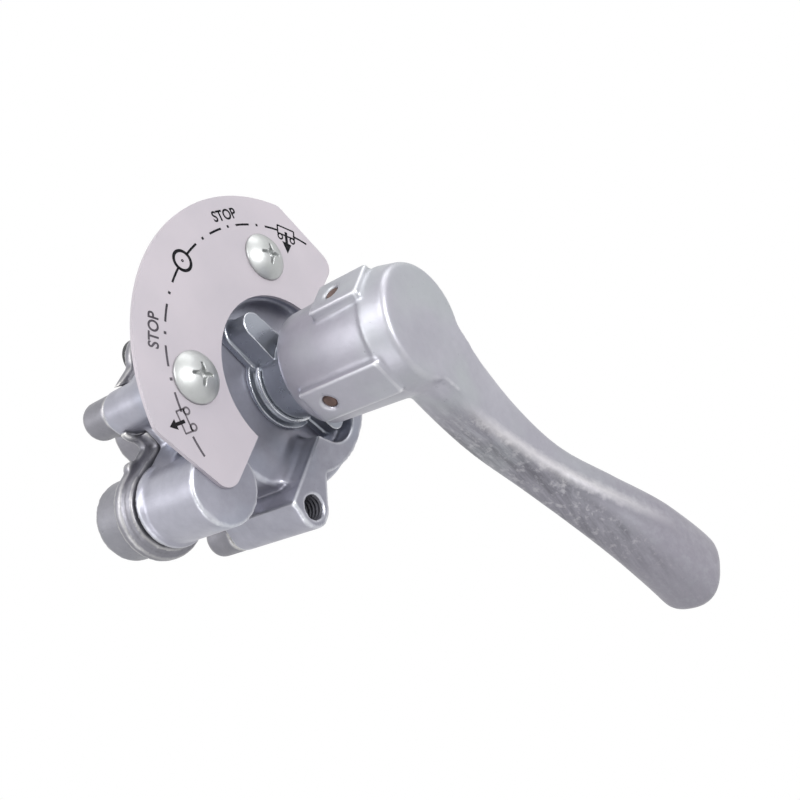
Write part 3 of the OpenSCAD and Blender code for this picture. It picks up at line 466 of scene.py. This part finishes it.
def inkMaterial(name, ridgeWearAndHighlight):
    # printed ink, dense at the right of the dial and thinner at the left, where hands rub it
    material, tree, shader = newMaterial(name)
    look = inkLook
    where = objectPlace(tree)
    rubbed = times(tree, stretch(tree, parted(tree, where)["X"], *look["rubbed"]), look["rubbedShare"])
    rubbed = plus(tree, rubbed, stretch(tree, noise(tree, where, *look["speck"]), *look["speckRange"]))
    colour = blendColour(tree, rubbed, rgba(look["dense"]), rgba(ridgeWearAndHighlight))
    tree.links.new(colour, shader.inputs["Base Color"])
    shader.inputs["Roughness"].default_value = look["roughness"]
    shader.inputs["Specular IOR Level"].default_value = look["specular"]
    return material


for key, (name, ridgeWearAndHighlight) in inks.items():
    finishes[key] = inkMaterial(name, ridgeWearAndHighlight)
print("finishes made:", len(finishes))

slotOf = {part["node"]: part["material_slot"] for part in frame["record"]["subparts"]}
bodyOf = {node: body for body, held in frame["record"]["behaviour"]["bodies"].items() for node in held}
for name, node in nodes.items():
    if len(node.material_slots) == 0:
        node.data.materials.append(finishes[slotOf[name]])
    for held in node.material_slots:
        held.material = finishes[slotOf[name]]

# the arm's places: y, half width, rear, front, how far left its ridge runs, and how far that stands up
armLook = {
    "bar": 2.6,
    "places": [(-8, 12.2, 66.0, 80.1, 0.90, -0.8), (-16, 11.2, 66.0, 80.1, 0.87, 0.4),
               (-24, 10.2, 65.8, 80.2, 0.84, 0.7), (-34, 8.7, 66.1, 80.5, 0.78, 0.7),
               (-50, 6.9, 68.3, 82.3, 0.65, 0.6), (-60, 6.7, 70.7, 84.8, 0.45, 0.6),
               (-80, 9.0, 76.3, 92.5, 0.20, 0.5), (-100, 11.4, 80.7, 99.6, -0.15, 0.3),
               (-110, 12.3, 82.3, 101.4, -0.25, -0.3)],
}
# the root under the head: y, half width, front
rootLook = {"thick": 5, "places": [(-6, 10.2, 81.1), (-12, 9.6, 81.1), (-17, 8.6, 80.9), (-23, 7.4, 80.5),
                                   (-30, 6.0, 79.9)]}


def armRidge():
    # a round bar just under the arm's face; it stands a little proud along the line between face and flank
    y, wide, rear, front, left, proud = np.array(armLook["places"]).T
    even = np.linspace(-y[0], -y[-1], 60)
    wide, rear, front, left, proud = [np.interp(even, -y, values) for values in (wide, rear, front, left, proud)]
    # the arm's section is nearly |x / w|^4 + |z / t|^4 = 1, and the bar's middle lies inwards along its normal
    high = (1 - np.abs(left) ** 4) ** 0.25
    inX, inZ = left ** 3, high ** 3
    length = np.hypot(inX, inZ)
    bar = armLook["bar"]
    x = -left * wide + inX / length * (bar - proud)
    z = (rear + front) / 2 + high * (front - rear) / 2 - inZ / length * (bar - proud)
    turn = np.linspace(0, 2 * np.pi, 20, endpoint=False)[None, :]
    return tube(np.stack([x[:, None] + bar * np.cos(turn), -even[:, None] + 0 * turn,
                          z[:, None] + bar * np.sin(turn)], axis=-1))


def headRoot():
    # the head's face runs on into the arm's: a slab that fills the groove under the head's round edge
    y, wide, front = np.array(rootLook["places"]).T
    rear = front - rootLook["thick"]
    x = np.stack([-wide, wide, wide, -wide], axis=-1)
    z = np.stack([rear, rear, front, front], axis=-1)
    return tube(np.stack([x, y[:, None] + 0 * x, z], axis=-1))


castings = {
    "front_housing": {"net": 0.52, "relax": 4, "weld": 0.35},
    "rear_cover": {"net": 0.5, "relax": 8, "weld": 0.35},
    "guide_sleeve": {"net": 0.26, "relax": 3},
    "hand_lever": {"net": 0.45, "relax": 14, "weld": 0.35, "extra": meshFrom("leverExtra", [armRidge(), headRoot()])},
}
for name, look in castings.items():
    skin = addPiece(name + "_skin", roundedCasting(nodes[name].data, look), finishes[slotOf[name]], bodyOf[name])
    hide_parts(name)
    print("casting", name, len(skin.data.polygons), "faces")

# the two springs' meshes are copied as pieces of their own; the joint, fixed length and travel listed for each are
# not used
springs = {
    "press_spring": {"joint": "lever_press", "fixed": 38.5, "travel": 2.0},
    "check_spring": {"joint": "check_lift", "fixed": 30.0, "travel": 2.5},
}
for name, spring in springs.items():
    coil = addPiece(name + "_coil", nodes[name].data.copy(), finishes[slotOf[name]], bodyOf[name],
                    smooth=None)
    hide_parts(name)
    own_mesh(coil)
print("springs coiled")

# the marks lie on a circle round the centre; angles are degrees from the top, and each one is on both sides
dial = {
    "front": 37.6, "ink": 0.03, "centre": (0.40, -0.16), "markR": 44.0, "lineW": 0.6,
    "dashes": [(3.6, 10.2), (18.8, 25.2), (33.2, 40.0), (48.2, 54.4)], "lastDash": (62.6, 69.6),
    "dots": [14.5, 29.0, 44.0], "dotW": 0.75, "ringR": 2.65, "ringW": 0.85, "pointR": 0.25, "pointW": 0.3,
}
inkLow, inkHigh = dial["front"], dial["front"] + dial["ink"]


def arcBand(radius, width, start, end):
    # a band round the marks' centre: x = r sin a, y = r cos a, for a from start to end and both edges
    angle = np.radians(np.linspace(start, end, max(3, int(abs(end - start) * 1.5) + 2)))
    outer = np.stack([np.sin(angle), np.cos(angle)], axis=-1) * (radius + width / 2)
    inner = np.stack([np.sin(angle), np.cos(angle)], axis=-1) * (radius - width / 2)
    return prism(np.concatenate([outer, inner[::-1]]) + dial["centre"], inkLow, inkHigh)


def ringBand(centre, radius, width):
    # a flat ring: its small rectangle is carried round the centre
    inner, outer = radius - width / 2, radius + width / 2
    return revolved([(inner, inkLow), (outer, inkLow), (outer, inkHigh), (inner, inkHigh)], 48, centre)


def onDial(points, angle):
    # small picture drawn with y outwards, set on the marks' circle at an angle from the top
    points = np.asarray(points, dtype=float)
    a = np.radians(angle)
    outward, along = np.array([np.sin(a), np.cos(a)]), np.array([np.cos(a), -np.sin(a)])
    return points[:, :1] * along + (points[:, 1:] + dial["markR"]) * outward + dial["centre"]


def stroke(a, b, width):
    # straight line from a to b as a thin rectangle
    a, b = np.asarray(a, dtype=float), np.asarray(b, dtype=float)
    way = (b - a) / np.linalg.norm(b - a)
    across = np.array([-way[1], way[0]]) * width / 2
    return np.array([a - across, b - across, b + across, a + across])


def addInk(name, parts, ink="ink"):
    addPiece(name, meshFrom(name, parts), finishes[ink], "valve_body", smooth=False)


line = []
dotHalf = dial["dotW"] / dial["markR"] * 28.6      # half a dot's width in degrees
for side in (-1, 1):
    for start, end in dial["dashes"]:
        line.append(arcBand(dial["markR"], dial["lineW"], side * start, side * end))
    for angle in dial["dots"]:
        line.append(arcBand(dial["markR"], dial["dotW"], side * angle - dotHalf, side * angle + dotHalf))
    line.append(arcBand(dial["markR"], dial["lineW"], side * dial["lastDash"][0], side * dial["lastDash"][1]))
addInk("dialLine", line)
ringPlace = onDial([(0, 0)], 0)[0]
addInk("dialRing", [ringBand(ringPlace, dial["ringR"], dial["ringW"]),
                    ringBand(ringPlace, dial["pointR"], dial["pointW"])])

# a wagon's outline and wheels, before its scale, and an arrow of its own for each
wagonLook = {"lines": [((-3.2, 1.6), (3.2, 1.6)), ((-3.2, 1.7), (-3.2, -1.2)), ((3.2, 1.7), (3.2, -1.2)),
                       ((-3.3, -0.9), (3.3, -0.9))], "lineW": 0.5, "wheels": [(-2.35, -1.75), (2.35, -1.75)],
             "wheelR": 0.85, "arrowProud": 0.002}
wagons = {
    "wagonLower": {"angle": 58.9, "scale": 1.0, "ink": "ink", "arrowInk": "ink",
                   "arrow": [(-0.5, 0.3), (0.5, 0.3), (0.5, -3.2), (1.75, -3.4), (0, -6.6), (-1.75, -3.1),
                             (-0.5, -3.2)]},
    "wagonRaise": {"angle": -57.4, "scale": 0.88, "ink": "faded_ink", "arrowInk": "dense_ink",
                   "arrow": [(-0.45, 0.2), (0.45, 0.2), (0.45, 2.9), (1.35, 2.9), (0, 5.0), (-1.35, 2.9),
                             (-0.45, 2.9)]},
}
for name, look in wagons.items():
    arrow = prism(onDial(look["arrow"], look["angle"]), inkLow, inkHigh + wagonLook["arrowProud"])
    addInk(name + "Arrow", [arrow], look["arrowInk"])
    parts = []
    for a, b in wagonLook["lines"]:
        bar = stroke(a, b, wagonLook["lineW"]) * look["scale"]
        parts.append(prism(onDial(bar, look["angle"]), inkLow, inkHigh))
    for x, y in wagonLook["wheels"]:
        centre = onDial([(x * look["scale"], y * look["scale"])], look["angle"])[0]
        parts.append(ringBand(centre, wagonLook["wheelR"], wagonLook["lineW"]))
    addInk(name, parts, look["ink"])

wordLook = {"text": "STOP", "places": {"wordRight": 30.0, "wordLeft": -29.2}, "radius": 45.75, "high": 3.1,
            "wide": 9.3, "bold": 0.022}


def addWord(name, angle):
    # letters laid on the dial with their feet towards the shaft, scaled to the height and width wanted
    curve = bpy.data.curves.new(name, "FONT")
    curve.body = wordLook["text"]
    curve.align_x = "CENTER"
    curve.extrude = 0.01
    curve.offset = wordLook["bold"]
    mesh = settledMesh(addObject(name, curve))
    flat = np.empty(len(mesh.vertices) * 3)
    mesh.vertices.foreach_get("co", flat)
    flat = flat.reshape(-1, 3)
    low, high = flat.min(axis=0), flat.max(axis=0)
    x = (flat[:, 0] - (low[0] + high[0]) / 2) / (high[0] - low[0]) * wordLook["wide"]
    y = (flat[:, 1] - low[1]) / (high[1] - low[1]) * wordLook["high"] + wordLook["radius"] - dial["markR"]
    spot = onDial(np.stack([x, y], axis=-1), angle)
    z = np.where(flat[:, 2] > 0, inkHigh, inkLow)
    mesh.vertices.foreach_set("co", toWorld(np.concatenate([spot, z[:, None]], axis=-1)).ravel())
    mesh.update()
    addPiece(name, mesh, finishes["ink"], "valve_body", smooth=False)


for name, angle in wordLook["places"].items():
    addWord(name, angle)
print("dial marks made")

# the snap ring's rounded section, drawn clear of the groove's sides, with a gap in degrees at each lug
ringLook = {"low": 33.15, "high": 34.25, "inner": 10.6, "outer": 11.75, "gap": 24}


def snapRing(start, end):
    # the section's corners are rounded by (cos a, sin a) each raised to the power 1/2
    turn = np.linspace(0, 2 * np.pi, 20, endpoint=False)
    soft = [np.sign(f(turn)) * np.abs(f(turn)) ** 0.5 for f in (np.cos, np.sin)]
    r = (ringLook["outer"] + ringLook["inner"]) / 2 + soft[0] * (ringLook["outer"] - ringLook["inner"]) / 2
    z = (ringLook["high"] + ringLook["low"]) / 2 + soft[1] * (ringLook["high"] - ringLook["low"]) / 2
    angle = np.radians(np.linspace(start, end, 90))[:, None]
    return tube(np.stack([r * np.cos(angle), r * np.sin(angle), z + 0 * angle], axis=-1))


halves = [snapRing(middle - 90 + ringLook["gap"], middle + 90 - ringLook["gap"]) for middle in (180, 0)]
neckRing = addPiece("neck_ring_skin", meshFrom("neck_ring_skin", halves), finishes["bright_ring"], "valve_body")
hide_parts("neck_ring")

screwLook = {"head": 6.75, "high": 3.4, "rim": 0.7, "recess": 3.1, "arm": 1.5, "armTaper": 0.12, "pitR": 1.35,
             "deep": 1.9, "rise": 0.55, "sideSlope": 0.16, "endSlope": 0.2, "turn": 34, "seat": 37.6, "shank": 2.45,
             "chamfer": 0.4, "end": 1.2,
             "places": [(-24.9, 26.3), (23.7, 25.1)]}


def mushroomScrew(place):
    # head height over (r, a): a dome cut from a sphere over a short rim, minus a cross whose arms slope in;
    # the side, the seat and the shank follow as further rings, closed at the middle of both ends
    look = screwLook
    dome = look["high"] - look["rim"]
    ball = (look["head"] ** 2 + dome ** 2) / (2 * dome)
    r = np.concatenate([np.linspace(0, look["recess"] + 0.6, 34),
                        np.linspace(look["recess"] + 0.9, look["head"] - 0.25, 10)])
    angle = np.linspace(0, 2 * np.pi, 160, endpoint=False)
    r2, a2 = np.meshgrid(r, angle, indexing="ij")
    z = np.sqrt(ball ** 2 - r2 ** 2) - ball + look["high"]
    turned = a2 - np.radians(look["turn"])
    across = np.minimum(np.abs(np.cos(turned)), np.abs(np.sin(turned))) * r2
    along = np.maximum(np.abs(np.cos(turned)), np.abs(np.sin(turned))) * r2
    half = look["arm"] / 2 - look["armTaper"] * along
    wall = np.clip((half - across) / look["sideSlope"], 0, 1)
    wall = wall * np.clip((look["recess"] - along) / look["endSlope"], 0, 1)
    middle = np.clip((look["pitR"] - r2) / look["endSlope"], 0, 1)
    z = z - np.maximum(wall * look["deep"] * (1 - look["rise"] * along / look["recess"]), middle * look["deep"])
    rimZ = np.sqrt(ball ** 2 - look["head"] ** 2) - ball + look["high"]
    tip = look["end"] - look["seat"]
    low = np.array([(look["head"] - 0.06, rimZ + 0.03), (look["head"], rimZ - 0.12), (look["head"], 0.12),
                    (look["head"] - 0.12, 0.0), (look["shank"], 0.0), (look["shank"], tip + look["chamfer"]),
                    (look["shank"] - look["chamfer"], tip), (0.0, tip)])
    rLow, zLow = low[:, :1] + 0 * angle, low[:, 1:] + 0 * angle
    r2, z = np.concatenate([r2, rLow]), np.concatenate([z, zLow])
    a2 = 0 * r2 + angle
    points = np.stack([place[0] + r2 * np.cos(a2), place[1] + r2 * np.sin(a2), look["seat"] + z], axis=-1)
    return points, gridFaces(len(r2), len(angle), False, True).tolist()


screws = addPiece("dial_screws_skin", meshFrom("dial_screws_skin", [mushroomScrew(p) for p in screwLook["places"]]),
                  finishes["zinc_screw"], "valve_body")
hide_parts("dial_screws")
print("screws made")

threads = {"holes": [(-29.5, -20.2), (29.5, -20.2)], "bore": 3.4, "tooth": 0.35, "pitch": 1.25, "from": 8.6,
           "to": 36.2, "sunk": 0.08, "rootHalf": 0.46, "crestHalf": 0.06}


def threadRidge(place):
    # a tooth with a wide root and a narrow crest carried along a helix inside a bore: angle and depth grow together
    look = threads
    pitch = look["pitch"]
    t = np.linspace(0, ((look["to"] - look["from"]) / pitch - 1) * 2 * np.pi,
                    int(((look["to"] - look["from"]) / pitch - 1) * 40))[:, None]
    root, crest = look["bore"] + look["sunk"], look["bore"] - look["tooth"]
    corner = np.array([[root, -look["rootHalf"] * pitch], [root, look["rootHalf"] * pitch],
                       [crest, look["crestHalf"] * pitch], [crest, -look["crestHalf"] * pitch]])
    r = corner[None, :, 0] + 0 * t
    z = look["from"] + pitch / 2 + pitch * t / (2 * np.pi) + corner[None, :, 1]
    return tube(np.stack([place[0] + r * np.cos(t), place[1] + r * np.sin(t), z], axis=-1))


for k, place in enumerate(threads["holes"]):
    name = "boltThread%d" % k
    addPiece(name, meshFrom(name, [threadRidge(place)]), finishes["thread"], "valve_body", smooth=False)
print("threads made")

# the camera was fitted to the photograph's dial marks and outline: place in metres, angles in degrees,
# and focal length in dots of a picture of that width
cameraLook = {"place": (-0.16046, -0.19546, 0.09533), "azimuth": -49.642, "elevation": 28.626, "roll": -43.783,
              "focal": 895.514, "picture": 800, "sensor": 36}


def matrixOf(right, up, back, place):
    return Matrix([[right[k], up[k], back[k], place[k]] for k in range(3)] + [[0, 0, 0, 1]])


azimuth, elevation, roll = np.radians([cameraLook[key] for key in ("azimuth", "elevation", "roll")])
backward = np.array([np.sin(azimuth) * np.cos(elevation), -np.cos(azimuth) * np.cos(elevation), np.sin(elevation)])
level = np.cross(-backward, [0, 0, 1])
level /= np.linalg.norm(level)
upright = np.cross(level, -backward)
rightward = np.cos(roll) * level + np.sin(roll) * upright
upward = -np.sin(roll) * level + np.cos(roll) * upright
cameraData = bpy.data.cameras.new("camera")
cameraData.lens = cameraLook["focal"] * cameraLook["sensor"] / cameraLook["picture"]
cameraData.sensor_width = cameraLook["sensor"]
cameraData.clip_start = 0.01
camera = addObject("camera", cameraData)
camera.matrix_world = matrixOf(rightward, upward, backward, cameraLook["place"])
bpy.context.scene.camera = camera

stageLook = {"floorZ": -0.30, "half": 3.0, "pale": (0.80, 0.80, 0.81), "sky": (0.64, 0.65, 0.68), "skyStrength": 0.36}


def whiteSeen(tree, lit, whiteKind, output):
    # the lamps meet what is lit, and the camera, gloss and glass meet plain white
    path = put(tree, "ShaderNodeLightPath").outputs
    seen = reckon(tree, "MAXIMUM", path["Is Glossy Ray"], path["Is Transmission Ray"])
    seen = reckon(tree, "MAXIMUM", path["Is Camera Ray"], seen)
    white = put(tree, whiteKind, {"Color": (1, 1, 1, 1), "Strength": 1.0})
    mixed = put(tree, "ShaderNodeMixShader", {0: seen, 1: lit.outputs[0], 2: white.outputs[0]})
    tree.links.new(mixed.outputs[0], tree.nodes[output].inputs["Surface"])


stageMaterial, stageTree, stageShader = newMaterial("paleStage")
stageShader.inputs["Base Color"].default_value = rgba(stageLook["pale"])
stageShader.inputs["Roughness"].default_value = 0.9
whiteSeen(stageTree, stageShader, "ShaderNodeEmission", "Material Output")
half, floorZ = stageLook["half"], stageLook["floorZ"]
floorMesh = bpy.data.meshes.new("floor")
floorMesh.from_pydata([(-half, -half, floorZ), (half, -half, floorZ), (half, half, floorZ), (-half, half, floorZ)],
                      [], [(0, 1, 2, 3)])
floorMesh.materials.append(stageMaterial)
addObject("floor", floorMesh)

world = bpy.data.worlds.new("studio")
bpy.context.scene.world = world
world.use_nodes = True
sky = world.node_tree.nodes["Background"]
sky.inputs["Color"].default_value = rgba(stageLook["sky"])
sky.inputs["Strength"].default_value = stageLook["skyStrength"]
whiteSeen(world.node_tree, sky, "ShaderNodeBackground", "World Output")

# lamps in metres and watts, each placed by its way from the valve in the picture's own right, up and near
lampLook = {"aim": (0.0, -0.045, -0.03), "far": 0.8}
lamps = {
    "key": {"way": (-0.55, 0.45, 0.75), "size": 0.40, "power": 2.4},
    "over": {"way": (0.5, 0.52, 0.68), "size": 0.30, "power": 4.2},
    "left": {"way": (-0.9, 0.0, 0.45), "size": 0.45, "power": 1.8},
    "top": {"way": (0.1, 1.0, 0.0), "size": 0.45, "power": 1.4},
    "low": {"way": (-0.4, -0.7, 0.6), "size": 0.5, "power": 1.1},
}
for name, look in lamps.items():
    way = look["way"][0] * rightward + look["way"][1] * upward + look["way"][2] * backward
    way /= np.linalg.norm(way)
    across = np.cross([0, 0, 1], way)
    across /= np.linalg.norm(across)
    data = bpy.data.lights.new(name, "AREA")
    data.energy = look["power"]
    data.size = look["size"]
    lamp = addObject(name, data)
    lamp.matrix_world = matrixOf(across, np.cross(way, across), way, lampLook["aim"] + way * lampLook["far"])
bpy.context.scene.view_settings.view_transform = "Standard"
print("stage, lamps and camera set")
